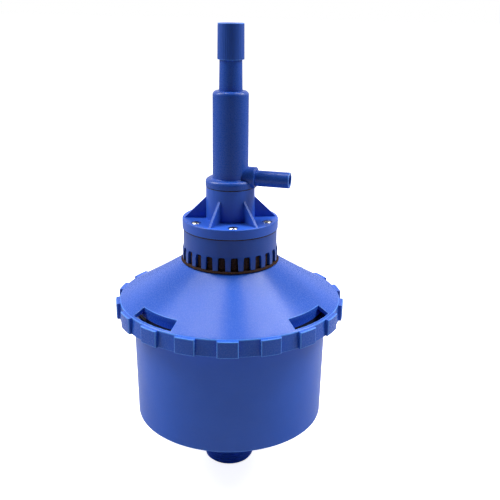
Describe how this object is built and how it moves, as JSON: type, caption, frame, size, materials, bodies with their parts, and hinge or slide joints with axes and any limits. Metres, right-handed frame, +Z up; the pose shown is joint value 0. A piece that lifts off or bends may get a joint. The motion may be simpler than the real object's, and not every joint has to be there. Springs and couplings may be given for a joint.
{
  "type": "vacuum regulating valve",
  "caption": "Blue plastic vacuum regulating valve: threaded cup, cone lid with grip lugs, slotted filter neck, ribbed diaphragm cover, spring tower with hose nipple and knob.",
  "frame": {"origin": "centre of the outlet spigot's end face, on which the valve stands", "axes": "+Z up the valve's axis to the knob, +X along the sensing nipple, pointing out of it"},
  "size_m": [0.1898, 0.1898, 0.3729],
  "materials": {
    "cup_plastic": "fine moulded satin",
    "spigot_plastic": "fine moulded satin",
    "lid_plastic": "fine spark-eroded satin",
    "neck_plastic": "fine moulded satin",
    "cover_plastic": "fine moulded satin",
    "tower_plastic": "fine moulded satin",
    "spindle_plastic": "fine moulded satin",
    "knob_plastic": "fine moulded satin",
    "white_plastic": "smooth natural acetal",
    "black_rubber": "matt",
    "brown_foam": "open-cell foam",
    "bright_steel": "turned",
    "screw_steel": "bright plated",
    "spring_steel": "drawn wire"
  },
  "bodies": {
    "base": {"lower_cup": "cup_plastic", "outlet_spigot": "spigot_plastic"},
    "head": {"lid": "lid_plastic", "lid_gasket": "black_rubber", "valve_seat": "white_plastic", "seat_oring": "black_rubber", "stem_bush": "white_plastic", "neck_ring": "neck_plastic", "neck_filter": "brown_foam", "main_diaphragm": "black_rubber", "diaphragm_cover": "cover_plastic", "cover_screws": "screw_steel", "tower_gasket": "black_rubber", "spring_tower": "tower_plastic", "sensing_nipple": "tower_plastic"},
    "valve": {"valve_plug": "white_plastic", "plug_seal": "black_rubber", "seal_washer": "bright_steel", "seal_nut": "bright_steel", "valve_stem": "bright_steel", "diaphragm_plate_lower": "bright_steel", "diaphragm_plate_upper": "bright_steel", "plate_washer": "bright_steel", "plate_nut": "bright_steel", "regulating_spring": "spring_steel"},
    "follower": {"spring_follower": "white_plastic", "follower_oring": "black_rubber", "thrust_ball": "spring_steel"},
    "adjuster": {"adjuster_spindle": "spindle_plastic", "adjuster_knob": "knob_plastic"}
  },
  "joints": [
    {"name": "lid_turn", "type": "hinge", "parent": "base", "child": "head", "pos_m": [0, 0, 0.1435], "axis": [0, 0, 1], "range_deg": [0, 32]},
    {"name": "valve_lift", "type": "slide", "parent": "head", "child": "valve", "axis": [0, 0, 1], "range_m": [0, 0.005], "stiffness_N_per_m": 2300, "springref_m": -0.008, "deforming": ["regulating_spring", "main_diaphragm"]},
    {"name": "follower_travel", "type": "slide", "parent": "head", "child": "follower", "axis": [0, 0, -1], "range_m": [0, 0.0195], "deforming": ["regulating_spring"]},
    {"name": "adjuster_turn", "type": "hinge", "parent": "follower", "child": "adjuster", "pos_m": [0, 0, 0.32], "axis": [0, 0, -1], "range_deg": [0, 2340]}
  ],
  "couplings": [
    {"joint": "adjuster_turn", "follows": "follower_travel", "rad_per_m": 2094.4}
  ]
}
